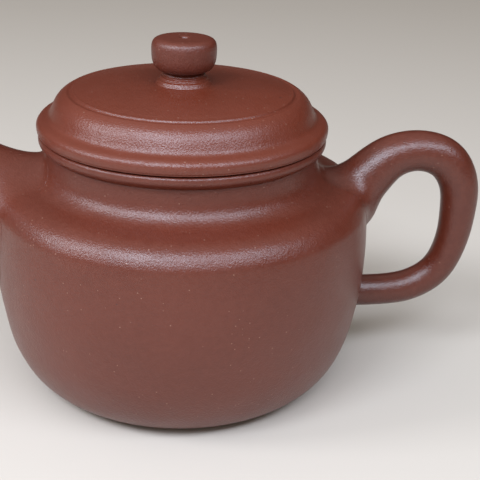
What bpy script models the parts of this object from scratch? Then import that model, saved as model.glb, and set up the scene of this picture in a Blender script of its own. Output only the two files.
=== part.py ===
"""A round clay teapot with a flat shoulder, a short neck, a sunk-flange lid and a drum knob.

The pot is hand-built ware: every piece below is a separately formed lump, strip or disc of clay.
Pieces that the potter lutes together with slip lie face to face with a hair seam between them.
The pot's axis is +Z, the table is z = 0, the handle points along +X and the spout along -X.
Outlines are (radius, height) pairs in millimetres, listed from the top of the outer side down.
"""
import math

import bmesh
import bpy
from mathutils import Matrix, Vector

# ---------------------------------------------------------------- driving dimensions, millimetres
MM = 0.001
SEAM = 0.3                      # slip line between two luted pieces
WALL = 2.8                      # thickness of the body's clay slab

FOOT_OUTER = 28.6               # flat ring that the pot stands on
FOOT_INNER = 25.8
FOOT_SLOPE = 0.6                # run of the bevel inside the ring
FOOT_RECESS = 1.0               # height of the underside above the table
BASE_RADIUS = 33.0              # seam between base disc and wall
BASE_TOP = 3.4
BASE_EDGE = [(BASE_RADIUS - SEAM / 2, 0.48), (31.0, 0.14)]

WALL_TOP = 48.0                 # seam between wall and shoulder
WALL_OUTLINE = [(47.4, WALL_TOP), (47.75, 44.5), (48.0, 38), (47.8, 30), (46.9, 22), (45.3, 14),
                (43.0, 8), (40.1, 4), (36.8, 1.6), (BASE_RADIUS, 0.5)]

SHOULDER_TOP = 55.0             # seam between shoulder and neck
SHOULDER_OUTLINE = [(36.5, SHOULDER_TOP), (38.2, 54.2), (40.2, 53.85), (42.4, 53.35), (44.1, 52.6),
                    (45.5, 51.5), (46.5, 50.1), (47.1, 49.0), (47.4, WALL_TOP)]

MOUTH_RADIUS = 31.8             # inside of shoulder hole, neck and mouth ring
NECK_TOP = 62.5                 # seam between neck and mouth ring
NECK_OUTLINE = [(34.4, NECK_TOP), (34.2, 61.4), (34.2, 60.1), (34.25, 59.0), (34.45, 57.9),
                (34.8, 56.95), (35.35, 56.1), (36.5, SHOULDER_TOP)]

MOUTH_TOP = 65.85               # face that the lid rests on
MOUTH_OUTLINE = [(35.4, MOUTH_TOP), (35.85, 65.4), (36.0, 64.6), (35.8, 63.8), (35.2, 63.1),
                 (34.4, NECK_TOP)]

LID_BOTTOM = MOUTH_TOP + SEAM
LID_INNER = 28.9                # hole of the lid's rim plate, flush with the flange
RIM_TOP = 69.8                  # seam between rim plate and domed top
RIM_OUTLINE = [(34.4, RIM_TOP), (35.3, 69.5), (36.0, 68.9), (36.3, 68.1), (36.25, 67.1),
               (36.0, LID_BOTTOM)]

DOME_FLAT = 77.95               # level spot that the knob is set on
DOME_THICK = 2.9
VENT_RADIUS = 0.95              # steam hole through knob, collar and lid
VENT_ROUND = 0.3                # worn edge of the hole in the knob
DOME_TOP_OUTLINE = [(7.4, DOME_FLAT), (14.0, 77.7), (20.0, 77.25), (24.0, 76.8), (27.5, 76.25)]
DOME_SIDE_OUTLINE = [(27.5, 76.25), (28.8, 75.95), (29.9, 75.4), (30.85, 74.6), (31.55, 73.7),
                     (32.05, 72.85), (32.45, 72.0), (32.8, 71.2), (33.2, 70.5), (33.7, 70.05),
                     (34.4, RIM_TOP)]

FLANGE_OUTER = 31.4             # locating ring, loose inside the mouth
FLANGE_TOP = LID_BOTTOM - SEAM
FLANGE_BOTTOM = 59.0
FLANGE_ROUND = 0.8

COLLAR_BOTTOM = DOME_FLAT + SEAM
COLLAR_TOP = 80.6
COLLAR_OUTLINE = [(5.0, COLLAR_TOP), (5.35, 80.2), (5.2, 79.8), (5.85, 79.5), (5.85, 79.1),
                  (6.5, 78.8), (6.6, COLLAR_BOTTOM)]

KNOB_BOTTOM = COLLAR_TOP + SEAM
KNOB_TOP = 89.2
KNOB_OUTLINE = [(4.6, 89.15), (6.3, 89.05), (7.3, 88.7), (7.85, 87.95), (8.05, 86.9), (8.05, 85.5),
                (7.95, 84.1), (7.6, 82.8), (7.0, 81.85), (6.1, 81.25), (4.9, KNOB_BOTTOM)]

# centre line of the ear handle: (x, z, radius)
HANDLE_LINE = [(37.5, 42.8, 8.0), (42.6, 48.2, 7.5), (47.8, 54.3, 6.5), (53.4, 59.6, 5.6),
               (60.5, 61.4, 5.2), (67.8, 59.2, 5.3), (71.9, 52.7, 5.0), (72.5, 44.7, 4.65),
               (71.6, 35.6, 4.25), (68.2, 27.5, 4.15), (61.6, 23.0, 4.2), (53.0, 21.5, 4.15),
               (42.0, 21.4, 4.3)]
HANDLE_STEPS = 3

# centre line and radius of the spout, and of its bore, which leaves the pot lower down
SPOUT_LINE = [(-36.0, 39.6, 13.0), (-43.0, 44.6, 12.8), (-50.0, 49.6, 11.9), (-56.5, 54.4, 10.2),
              (-62.4, 59.0, 8.5), (-67.2, 64.2, 7.2), (-70.6, 70.0, 6.5), (-72.9, 76.5, 6.3)]
BORE_LINE = [(-30.0, 33.0, 6.2), (-43.0, 39.0, 6.2), (-50.0, 44.4, 6.2), (-56.5, 51.6, 5.8),
             (-62.4, 58.0, 5.1), (-67.2, 64.0, 4.5), (-70.6, 70.0, 4.0), (-74.0, 79.5, 3.9)]
SPOUT_STEPS = 2
LIP_CENTRE = (-70.6, 69.6)      # the lip is cut nearly level
LIP_TILT = 13.0                 # degrees that the lip leans outward
OUTLET_CENTRE = (-46.4, 40.4)   # hole that the potter cuts in the wall behind the spout
OUTLET_RADIUS = 5.9
OUTLET_RISE = 24.0              # degrees above the horizontal

# ball strainer luted inside the wall over the outlet
STRAINER_CENTRE = (-43.6, 40.2)
STRAINER_RADIUS = 8.8
STRAINER_THICK = 1.7
STRAINER_HOLE = 0.9
STRAINER_ROWS = [(0.0, 1), (26.0, 6), (50.0, 11)]   # degrees from the pole, holes in the row

ROUND = 40                      # sides of the large turned pieces
SMALL_ROUND = 24                # sides of the knob and its collar
STEPS = 2                       # curve points between two outline points
SHARP = math.radians(32)

CLAY = (0.150, 0.052, 0.034, 1.0)
CLAY_ROUGH = 0.46


# ---------------------------------------------------------------- outlines
def smooth(points, steps=STEPS):
    """Catmull-Rom curve through the points, with `steps` stretches between two of them."""
    pts = [Vector(p) for p in points]
    ends = [2 * pts[0] - pts[1]] + pts + [2 * pts[-1] - pts[-2]]
    curve = []
    for a, b, c, d in zip(ends, ends[1:], ends[2:], ends[3:]):
        for k in range(steps):
            t = k / steps
            curve.append(0.5 * (2 * b + (c - a) * t + (2 * a - 5 * b + 4 * c - d) * t * t
                                + (3 * b - a - 3 * c + d) * t ** 3))
    return [tuple(p) for p in curve] + [tuple(pts[-1])]


def inset(points, distance):
    """The same outline moved into the clay, towards the inside of the pot."""
    moved = []
    last = len(points) - 1
    for i, (r, z) in enumerate(points):
        r0, z0 = points[max(i - 1, 0)]
        r1, z1 = points[min(i + 1, last)]
        run = math.hypot(r1 - r0, z1 - z0)
        moved.append((r + (z1 - z0) / run * distance, z - (r1 - r0) / run * distance))
    return moved


def close_seams(points, top, bottom):
    """The outline with its ends half a seam short of the seams above and below the piece."""
    return [(points[0][0], top - SEAM / 2)] + points[1:-1] + [(points[-1][0], bottom + SEAM / 2)]


def body_outline():
    """The pot's outer side, smoothed as one curve and parted at its seams: neck, shoulder, wall."""
    curve = smooth(NECK_OUTLINE + SHOULDER_OUTLINE[1:] + WALL_OUTLINE[1:])
    neck_end = (len(NECK_OUTLINE) - 1) * STEPS
    shoulder_end = neck_end + (len(SHOULDER_OUTLINE) - 1) * STEPS
    return curve[:neck_end + 1], curve[neck_end:shoulder_end + 1], curve[shoulder_end:]


# ---------------------------------------------------------------- building blocks
def clear_scene():
    for obj in list(bpy.data.objects):
        bpy.data.objects.remove(obj, do_unlink=True)


def collection(name):
    group = bpy.data.collections.new(name)
    bpy.context.scene.collection.children.link(group)
    return group


def clay(name, shade=1.0):
    """Fired clay: one body of clay for all pieces, each with its own slight shade."""
    mat = bpy.data.materials.new(name + "_clay")
    mat.use_nodes = True
    bsdf = mat.node_tree.nodes["Principled BSDF"]
    bsdf.inputs["Base Color"].default_value = [c * shade for c in CLAY[:3]] + [1.0]
    bsdf.inputs["Roughness"].default_value = CLAY_ROUGH
    bsdf.inputs["Metallic"].default_value = 0.0
    return mat


def add_object(name, mesh, group, parent=None):
    obj = bpy.data.objects.new(name, mesh)
    group.objects.link(obj)
    obj.parent = parent
    return obj


def finish_piece(obj, shade=1.0):
    obj.data.materials.clear()
    obj.data.materials.append(clay(obj.name, shade))
    obj.data.shade_smooth()
    obj.data.set_sharp_from_angle(angle=SHARP)


def turned_mesh(name, outline, ring=True):
    """Wire outline at +X; a ring outline is closed, a disc outline ends on the axis."""
    verts = [(r * MM, 0.0, z * MM) for r, z in outline]
    count = len(verts)
    edges = [(i, i + 1) for i in range(count - 1)]
    if ring:
        edges.append((count - 1, 0))
    mesh = bpy.data.meshes.new(name)
    mesh.from_pydata(verts, edges, [])
    return mesh


def turn(obj, sides=ROUND):
    screw = obj.modifiers.new("turn", "SCREW")
    screw.axis = "Z"
    screw.steps = sides
    screw.render_steps = sides
    screw.use_merge_vertices = True
    screw.merge_threshold = 0.00001
    screw.use_smooth_shade = True


def turned(name, outline, group, parent=None, ring=True, sides=ROUND):
    obj = add_object(name, turned_mesh(name, outline, ring), group, parent)
    turn(obj, sides)
    return obj


def make_cutter(obj):
    obj.hide_render = True
    obj.display_type = "WIRE"
    return obj


def cut(obj, cutter, operation="DIFFERENCE"):
    boolean = obj.modifiers.new(operation.lower(), "BOOLEAN")
    boolean.operation = operation
    boolean.solver = "EXACT"
    boolean.object = cutter


def tube(name, line, group, parent=None, steps=2, sides_level=4):
    """Round bar along (x, z, radius) points in the plane y = 0, as a welded mesh."""
    points = smooth(line, steps)
    data = bpy.data.curves.new(name, "CURVE")
    data.dimensions = "3D"
    data.bevel_depth = MM
    data.bevel_resolution = sides_level
    data.use_fill_caps = True
    spline = data.splines.new("POLY")
    spline.points.add(len(points) - 1)
    for point, (x, z, radius) in zip(spline.points, points):
        point.co = (x * MM, 0.0, z * MM, 1.0)
        point.radius = radius
    curve = add_object(name + "_line", data, group, parent)
    graph = bpy.context.evaluated_depsgraph_get()
    mesh = bpy.data.meshes.new_from_object(curve.evaluated_get(graph))
    bm = bmesh.new()
    bm.from_mesh(mesh)
    bmesh.ops.remove_doubles(bm, verts=bm.verts, dist=0.00001)
    bmesh.ops.recalc_face_normals(bm, faces=bm.faces)
    bm.to_mesh(mesh)
    bm.free()
    obj = add_object(name, mesh, group, parent)
    obj.matrix_world = curve.matrix_world
    bpy.data.objects.remove(curve, do_unlink=True)
    return obj


def primitive(name, group, build):
    """A cutter from a bmesh primitive; `build` fills the bmesh."""
    bm = bmesh.new()
    build(bm)
    mesh = bpy.data.meshes.new(name)
    bm.to_mesh(mesh)
    bm.free()
    return make_cutter(add_object(name, mesh, group))


# ---------------------------------------------------------------- cutters
def body_envelope(group):
    """The pot's outer shape, a seam's width proud: what handle and spout are fitted to."""
    neck, shoulder, wall = body_outline()
    proud = inset(neck + shoulder[1:] + wall[1:], -SEAM)
    outline = [(0.0, NECK_TOP)] + proud + [(0.0, proud[-1][1])]
    return make_cutter(turned("body_envelope", outline, group, ring=False))


def inner_envelope(group):
    """The pot's inside, a seam's width clear of the wall: what the strainer is fitted to."""
    clear = WALL + SEAM
    inner = inset(SHOULDER_OUTLINE, clear)[1:-1] + inset(WALL_OUTLINE, clear)
    outline = [(0.0, inner[0][1])] + inner + [(0.0, inner[-1][1])]
    return make_cutter(turned("inner_envelope", outline, group, ring=False))


def outlet_hole(group):
    """Round hole through the wall behind the spout, along the spout's root."""
    x, z = OUTLET_CENTRE
    turn_to_spout = Matrix.Rotation(math.radians(-90 + OUTLET_RISE), 4, "Y")
    place = Matrix.Translation((x * MM, 0.0, z * MM)) @ turn_to_spout

    def build(bm):
        bmesh.ops.create_cone(bm, cap_ends=True, segments=20, radius1=OUTLET_RADIUS * MM,
                              radius2=OUTLET_RADIUS * MM, depth=24 * MM, matrix=place)
    return primitive("outlet_hole", group, build)


def lip_plane(group):
    """Block over the spout; its underside is the plane of the lip."""
    size = 40.0
    x, z = LIP_CENTRE
    lean = Matrix.Rotation(math.radians(-LIP_TILT), 4, "Y")
    place = Matrix.Translation((x * MM, 0.0, z * MM)) @ lean
    place = place @ Matrix.Translation((0.0, 0.0, size / 2 * MM))

    def build(bm):
        bmesh.ops.create_cube(bm, size=size * MM, matrix=place)
    return primitive("lip_plane", group, build)


def strainer_holes(group):
    """Awl holes pierced square through the strainer's ball, in rings round its pole."""
    x, z = STRAINER_CENTRE
    centre = Vector((x, 0.0, z)) * MM
    reach = STRAINER_RADIUS * MM

    def build(bm):
        for polar, count in STRAINER_ROWS:
            for k in range(count):
                around = Matrix.Rotation(2 * math.pi * k / count, 4, "X")
                lean = Matrix.Rotation(math.radians(90 - polar), 4, "Y")
                place = Matrix.Translation(centre) @ around @ lean
                place = place @ Matrix.Translation((0.0, 0.0, reach))
                bmesh.ops.create_cone(bm, cap_ends=True, segments=8, depth=reach,
                                      radius1=STRAINER_HOLE * MM, radius2=STRAINER_HOLE * MM,
                                      matrix=place)
    return primitive("strainer_holes", group, build)


# ---------------------------------------------------------------- the pot
def build_base(group, pot):
    edge = BASE_RADIUS - SEAM / 2
    outline = [(0.0, BASE_TOP), (edge, BASE_TOP)] + BASE_EDGE + [(FOOT_OUTER, 0.0)]
    outline += [(FOOT_INNER, 0.0), (FOOT_INNER - FOOT_SLOPE, FOOT_RECESS), (0.0, FOOT_RECESS)]
    finish_piece(turned("base_disc", outline, group, pot, ring=False), 0.95)


def build_wall(group, pot, outlet):
    outer = body_outline()[2]
    inner = inset(WALL_OUTLINE, WALL)
    top = WALL_TOP - SEAM / 2
    edge = BASE_RADIUS + SEAM / 2
    outline = [(outer[0][0], top)] + outer[1:-1] + [(edge, outer[-1][1]), (edge, BASE_TOP)]
    outline += inner[-2:0:-1] + [(inner[0][0], top)]
    wall = turned("body_wall", outline, group, pot)
    cut(wall, outlet)
    finish_piece(wall)


def build_shoulder(group, pot):
    outer = close_seams(body_outline()[1], SHOULDER_TOP, WALL_TOP)
    inner = close_seams(inset(SHOULDER_OUTLINE, WALL), SHOULDER_TOP, WALL_TOP)
    hole = [(MOUTH_RADIUS, SHOULDER_TOP - WALL), (MOUTH_RADIUS, SHOULDER_TOP - SEAM / 2)]
    outline = outer + inner[:0:-1] + hole
    finish_piece(turned("shoulder_disc", outline, group, pot), 1.02)


def build_neck(group, pot):
    outer = close_seams(body_outline()[0], NECK_TOP, SHOULDER_TOP)
    outline = outer + [(MOUTH_RADIUS, SHOULDER_TOP + SEAM / 2), (MOUTH_RADIUS, NECK_TOP - SEAM / 2)]
    finish_piece(turned("neck_collar", outline, group, pot), 0.98)


def build_mouth_ring(group, pot):
    outer = smooth(MOUTH_OUTLINE)
    outer[-1] = (outer[-1][0], NECK_TOP + SEAM / 2)
    outline = outer + [(MOUTH_RADIUS, NECK_TOP + SEAM / 2), (MOUTH_RADIUS, MOUTH_TOP)]
    finish_piece(turned("mouth_ring", outline, group, pot), 1.03)


def build_handle(group, pot, envelope):
    handle = tube("handle", HANDLE_LINE, group, pot, HANDLE_STEPS)
    cut(handle, envelope)
    finish_piece(handle, 1.04)


def build_spout(group, pot, cutters, envelope):
    spout = tube("spout", SPOUT_LINE, group, pot, SPOUT_STEPS)
    cut(spout, lip_plane(cutters))
    cut(spout, make_cutter(tube("spout_bore", BORE_LINE, cutters, None, SPOUT_STEPS)))
    cut(spout, envelope)
    finish_piece(spout, 1.01)


def build_strainer(group, pot, cutters):
    """Pierced ball of clay, open towards the outlet."""
    x, z = STRAINER_CENTRE
    bm = bmesh.new()
    place = Matrix.Translation((x * MM, 0.0, z * MM)) @ Matrix.Rotation(math.radians(90), 4, "Y")
    bmesh.ops.create_uvsphere(bm, u_segments=24, v_segments=14,
                              radius=STRAINER_RADIUS * MM, matrix=place)
    mesh = bpy.data.meshes.new("strainer")
    bm.to_mesh(mesh)
    bm.free()
    strainer = add_object("strainer", mesh, group, pot)

    def hollow(bm):
        bmesh.ops.create_uvsphere(bm, u_segments=20, v_segments=12, matrix=place,
                                  radius=(STRAINER_RADIUS - STRAINER_THICK) * MM)
    cut(strainer, primitive("strainer_hollow", cutters, hollow))
    cut(strainer, inner_envelope(cutters), "INTERSECT")
    cut(strainer, strainer_holes(cutters))
    finish_piece(strainer, 0.92)


# ---------------------------------------------------------------- the lid
def build_rim_plate(group, lid):
    outer = smooth(RIM_OUTLINE)
    outer[0] = (outer[0][0], RIM_TOP - SEAM / 2)
    outline = outer + [(LID_INNER, LID_BOTTOM), (LID_INNER, RIM_TOP - SEAM / 2)]
    finish_piece(turned("lid_rim_plate", outline, group, lid), 1.02)


def build_dome(group, lid):
    top = smooth(DOME_TOP_OUTLINE)
    side = smooth(DOME_SIDE_OUTLINE)
    under = inset(DOME_TOP_OUTLINE + DOME_SIDE_OUTLINE[1:], DOME_THICK)
    foot = RIM_TOP + SEAM / 2
    side[-1] = (side[-1][0], foot)
    under = [(r, z) for r, z in under if r < LID_INNER and z > foot]
    outline = [(VENT_RADIUS, DOME_FLAT)] + top + side[1:]
    outline += [(LID_INNER, foot)] + under[::-1] + [(VENT_RADIUS, DOME_FLAT - DOME_THICK)]
    finish_piece(turned("lid_dome", outline, group, lid), 1.0)


def build_flange(group, lid):
    outline = [(FLANGE_OUTER, FLANGE_TOP), (FLANGE_OUTER, FLANGE_BOTTOM + FLANGE_ROUND),
               (FLANGE_OUTER - FLANGE_ROUND, FLANGE_BOTTOM), (LID_INNER, FLANGE_BOTTOM),
               (LID_INNER, FLANGE_TOP)]
    finish_piece(turned("lid_flange", outline, group, lid), 0.96)


def build_collar(group, lid):
    outline = smooth(COLLAR_OUTLINE) + [(VENT_RADIUS, COLLAR_BOTTOM), (VENT_RADIUS, COLLAR_TOP)]
    finish_piece(turned("knob_collar", outline, group, lid, sides=SMALL_ROUND), 1.03)


def build_knob(group, lid):
    outline = [(VENT_RADIUS + VENT_ROUND, KNOB_TOP)] + smooth(KNOB_OUTLINE)
    outline += [(VENT_RADIUS, KNOB_BOTTOM), (VENT_RADIUS, KNOB_TOP - VENT_ROUND)]
    finish_piece(turned("knob", outline, group, lid, sides=SMALL_ROUND), 1.0)


def main():
    clear_scene()
    teapot = collection("yixing_teapot")
    cutters = collection("cutters")
    pot = add_object("pot_axis", None, teapot)
    lid = add_object("lid_axis", None, teapot, pot)      # the lid lifts along this axis
    lid.location = (0.0, 0.0, 0.0)

    envelope = body_envelope(cutters)
    build_base(teapot, pot)
    build_wall(teapot, pot, outlet_hole(cutters))
    build_shoulder(teapot, pot)
    build_neck(teapot, pot)
    build_mouth_ring(teapot, pot)
    build_handle(teapot, pot, envelope)
    build_spout(teapot, pot, cutters, envelope)
    build_strainer(teapot, pot, cutters)

    build_rim_plate(teapot, lid)
    build_dome(teapot, lid)
    build_flange(teapot, lid)
    build_collar(teapot, lid)
    build_knob(teapot, lid)


main()
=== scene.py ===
"""Looks of a round clay teapot: the finished surfaces of every luted piece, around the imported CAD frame.

The turned pieces take their outlines from the CAD nodes' own cut at +X, faired and turned fine.
Handle and spout are swept bars whose roots are drawn out and smoothed onto the body, as a potter
pulls the clay with a wet tool.  Lengths are millimetres in the script and metres in the meshes.
"""
import math

import bmesh
import bpy
import numpy as np
from mathutils import Matrix, Vector


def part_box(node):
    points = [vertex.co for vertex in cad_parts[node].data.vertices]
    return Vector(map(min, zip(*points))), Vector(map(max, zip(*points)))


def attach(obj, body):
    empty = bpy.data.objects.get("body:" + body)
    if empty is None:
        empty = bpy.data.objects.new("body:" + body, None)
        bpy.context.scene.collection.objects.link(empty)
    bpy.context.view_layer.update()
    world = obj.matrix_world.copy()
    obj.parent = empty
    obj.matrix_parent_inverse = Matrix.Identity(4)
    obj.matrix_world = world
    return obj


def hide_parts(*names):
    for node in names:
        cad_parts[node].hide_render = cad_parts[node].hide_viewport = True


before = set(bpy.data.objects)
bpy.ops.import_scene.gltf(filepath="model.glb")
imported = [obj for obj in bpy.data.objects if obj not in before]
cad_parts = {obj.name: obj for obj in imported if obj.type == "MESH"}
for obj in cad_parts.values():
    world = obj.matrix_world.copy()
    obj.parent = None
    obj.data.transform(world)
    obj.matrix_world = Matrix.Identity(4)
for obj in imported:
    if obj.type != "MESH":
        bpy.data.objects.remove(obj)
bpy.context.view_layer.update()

MM = 0.001

# ---------------------------------------------------------------- finish of the turned pieces
BIG_SIDES = 224                 # facets round the body and lid
SMALL_SIDES = 128               # facets round the knob and its collar
CURVE_STEP = 0.1                # spacing of points on a faired outline
HAIR = 0.02                     # width of the strip that carries the shading up to a seam
TURN_LIMIT = math.radians(2.5)  # outline points are kept where the outline has turned this much
REACH_LIMIT = 1.1               # or run this far
BODY_BLUR = 0.55                # how far the wet sponge levels the body's outline
FINE_BLUR = 0.16                # and the small mouldings
SHARP = math.radians(38)        # edges that turn more than this stay crisp
ARC_STEPS = 6                   # straight pieces in the arc that rounds a corner
SAME = 1e-6                     # shorter lengths than this are none
TINY = 1e-9                     # keeps a division on the axis finite
MERGE = 1e-7                    # vertices this close, in metres, become one
CUT_TOLERANCE = 0.002           # CAD vertices this close to the cut lie on it

# uneven spots of a hand-beaten slab: amplitude and wave length
WOBBLE = 0.07
WOBBLE_LENGTH = 17.0
WOBBLE_START = (1.0, 6.0)       # none below this height, and full this far above it
WOBBLE_HUB = 6.0                # it fades out inside this radius

# ---------------------------------------------------------------- ends of the CAD's outlines
# places as (radius, height) on the outer surface; the nearest CAD point is taken.  Where one value
# is missing here, it is read from the CAD
MOUTH_EDGE = (35.4, 65.85)
NECK_SEAM = (34.4, 62.5)
SHOULDER_SEAM = (36.5, 55.0)
WALL_SEAM = (47.4, 48.0)
BASE_SEAM = (33.0, 0.5)
FOOT_EDGE = (28.6, 0.0)
LID_TOP = 78.0                  # height beside the steam hole
LID_STEP = (27.5, 76.25)
RIM_SEAM = (34.4, 69.8)
RIM_EDGE = (36.0, 66.15)
COLLAR_RADII = (5.0, 6.6)       # at its top and at its bottom
KNOB_RADII = (4.6, 4.9)

# ---------------------------------------------------------------- small details of those pieces
WALL = 2.8                      # thickness of the beaten slab
FOOT_SEARCH = (28.0, 1.2)       # the recess is read inside this radius and below this height
FOOT_FLAT = 0.1                 # its points below this height stand on the table
FOOT_FILLET, RECESS_FILLET = 0.25, 0.5
RECESS_SLOPE = 0.7
FLOOR_CLEAR = 0.25              # the wall's inner curve ends this far above the inner floor
SEAM_CLEAR = 0.05
BEAD_START, BEAD_SWELL, BEAD_DROP = 0.3, 0.08, 0.12   # top corner of the mouth ring's bead
MOUTH_FILLET = 0.45

LID_THICK = 2.9
LID_UNDER_STEP = 8              # every eighth outline point is enough for the underside
LID_UNDER_BLUR = 0.8
LID_UNDER_CLEAR = (0.4, 0.6)    # inwards and upwards from its hidden corner on the rim
STEP_DROP = 0.52                # fine step between the lid's top and its rounded edge
# its points: out from the step's radius, up from the edge of the top
STEP_SHAPE = [(-0.6, 0.06), (-0.18, 0.04), (0.16, -0.9 * STEP_DROP), (0.6, -STEP_DROP)]
STEP_CLEAR = 1.2                # the lid's side goes on this far outside the step
RIM_LIFT = 0.35                 # the rim's outer curve ends this far above its underside
RIM_FILLET = 0.3
FLANGE_FILLET = 0.9

COLLAR_TOP, COLLAR_FOOT = 4.8, 7.0   # radii: it runs on under the knob and out onto the lid
COLLAR_SINK = 0.02
COLLAR_BLUR, KNOB_BLUR = 0.12, 0.3
COLLAR_UNEVEN, KNOB_UNEVEN = 0.4, 0.5
VENT_EDGE = [(0.0, 0.6), (0.05, 0.25), (0.25, 0.1)]   # out from the steam hole, down from the top
KNOB_CROWN = [(2.6, 0.07), (3.7, 0.08)]               # radius, down from the top

# ---------------------------------------------------------------- handle and spout
# centre lines as (x, z, radius), from the root outwards
HANDLE_LINE = [(37.5, 42.8, 8.0), (42.6, 48.2, 7.5), (47.8, 54.3, 6.5), (53.4, 59.6, 5.6),
               (60.5, 61.4, 5.2), (67.8, 59.2, 5.3), (71.9, 52.7, 5.0), (72.5, 44.7, 4.65),
               (71.6, 35.6, 4.25), (68.2, 27.5, 4.15), (61.6, 23.0, 4.2), (53.0, 21.5, 4.15),
               (42.0, 21.4, 4.3)]
SPOUT_LINE = [(-36.0, 39.6, 13.0), (-43.0, 44.6, 12.8), (-50.0, 49.6, 11.9), (-56.5, 54.4, 10.2),
              (-62.4, 59.0, 8.5), (-67.2, 64.2, 7.2), (-70.6, 70.0, 6.5), (-72.9, 76.5, 6.3)]
BORE_LINE = [(-43.0, 39.0, 5.6), (-50.0, 44.4, 6.0), (-56.5, 51.6, 5.7), (-62.4, 58.0, 5.1),
             (-67.2, 64.0, 4.5), (-70.6, 70.0, 4.0), (-72.9, 76.5, 3.9)]
LIP_CENTRE = (-70.6, 69.45)
LIP_TILT = 13.0
LIP_BLEND = 9.0                 # over this length the tube's rings turn level with the lip
LIP_ROUND = 0.5
BAR_SIDES = 72
BAR_BLUR = 2.2
HANDLE_RINGS, SPOUT_RINGS, BORE_RINGS, LIP_RINGS, ROOT_RINGS = 130, 60, 50, 8, 22
UPPER_ROOT = 3.5                # the bar's own rings start this far out of the body
LOWER_ROOT = 1.6
SPOUT_ROOT = 6.0
BORE_START = -2.4               # the bore's rings start inside the body's outer surface
# how far each root spreads, and how softly it lands (1 level, 0 crisp): left, flanks and right
UPPER_FLARE, UPPER_SOFT = (6.0, 4.2, 1.6), (1.0, 1.0, 0.0)
LOWER_FLARE, LOWER_SOFT = (0.5, 0.5, 0.5), (0.4, 0.4, 0.4)
SPOUT_FLARE, SPOUT_SOFT = (7.5, 7.5, 7.0), (1.0, 1.0, 1.0)
HANDLE_PULL, SPOUT_PULL = 1.1, 1.0
ROOT_DIP = 0.06                 # the level edges of a root end this far under the skin of the body
ROOT_SINK = 0.35                # the last ring goes this much deeper
ROOT_TUCK = 0.3                 # and this much further on
CREASE = (0.45, 0.75)           # a crisp edge arrives this much along the body for this much into it
ROOT_SEARCH = 40.0              # the body is looked for this far along a strand
SEARCH_STEPS = 400
HUB_DEPTH = 2.0                 # the closing point of a handle root lies this far inwards

STRAINER_CENTRE = (-43.6, 40.2)
STRAINER_THICK = 1.7
STRAINER_HOLE = 0.9
STRAINER_ROWS = [(0.0, 1), (26.0, 6), (50.0, 11)]   # degrees from the pole, holes in the row
STRAINER_BACK = -2.4            # its straight collar goes this far into the wall
STRAINER_SIDES = 72
AWL_LENGTH = 6.0
AWL_SIDES = 16
OUTLET_CENTRE = (-46.4, 40.4)
OUTLET_RADIUS = 5.9
OUTLET_RISE = 24.0              # degrees
OUTLET_LENGTH = 20.0
OUTLET_SIDES = 48

# ---------------------------------------------------------------- camera
CAMERA_PLACE = (0.0, -240.0, 140.65)
CAMERA_PITCH = 23.585           # degrees down
CAMERA_YAW = 3.634              # degrees to the right
CAMERA_ROLL = 2.017
CAMERA_LENS = 74.37
CAMERA_SENSOR = 36.0

# ---------------------------------------------------------------- room
ROOM_COLOUR = (1.0, 0.97, 0.92)
ROOM_BRIGHT_WAY = (-0.20, -0.36, 0.91)
ROOM_BRIGHT = 0.58
ROOM_DIM = 0.03
ROOM_FADE = (0.05, 0.75)        # cosine to the bright way at which the room is dim, and bright

# soft boxes: name, azimuth, elevation, distance, width, height (metres), power, colour;
# azimuth 0 is in front of the pot, positive to the right
LIGHTS = [("key", -36, 46, 0.70, 0.24, 0.17, 2.8, (0.76, 0.86, 1.0)),
          ("strip", 20, 47, 0.70, 1.00, 0.14, 5.5, (0.74, 0.84, 1.0)),
          ("window", -76, 32, 0.75, 0.18, 0.20, 2.3, (0.84, 0.90, 1.0))]
LIGHT_AIM = 0.045               # height that they are aimed at, in metres
FLOOR_COLOUR = (0.61, 0.545, 0.475)
FLOOR_ROUGH = 0.7
FLOOR_REACH = 3.0               # metres

# ---------------------------------------------------------------- clays
# each as red, the same red in its darker clouds, pale speckle, roughness
PALE = (0.152, 0.036, 0.020)
POT_SHADES = ((0.113, 0.0202, 0.0090), (0.100, 0.0175, 0.0077), PALE, 0.345)
LID_SHADES = ((0.139, 0.0255, 0.0113), (0.124, 0.0225, 0.0098), PALE, 0.35)
# painted shade: the handle's and knob's reds are darkened to stand in for the shade on their front faces
HANDLE_SHADED = ((0.093, 0.0165, 0.0075), (0.083, 0.0145, 0.0065), PALE, 0.31)
KNOB_SHADED = ((0.106, 0.0195, 0.0092), (0.095, 0.0172, 0.0082), PALE, 0.38)
RAW_SHADES = ((0.125, 0.034, 0.021), (0.105, 0.028, 0.017), (0.170, 0.060, 0.042), 0.62)
GOLD_GRAIN = (0.27, 0.13, 0.09)
DARK_GRAIN = (0.045, 0.018, 0.014)
CLAY_IOR = 1.52
CLAY_SPECULAR = 0.58
# noises and grains: cells per metre; grains also have the share of cells that hold one, and size
CLOUD_SCALE, SPECKLE_SCALE, RUB_SCALE = 42.0, 760.0, 95.0
GOLD_CELLS = (1250.0, 0.045, 0.23)
DARK_CELLS = (420.0, 0.016, 0.13)
RUB_SPREAD = (-0.035, 0.045)    # change in roughness from the most to the least rubbed spots
SAND_SCALE, SAND_HEIGHT = 2300.0, 0.11
LUMP_SCALE, LUMP_HEIGHT = 520.0, 0.065
PIT_DEPTH = 0.05


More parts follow.
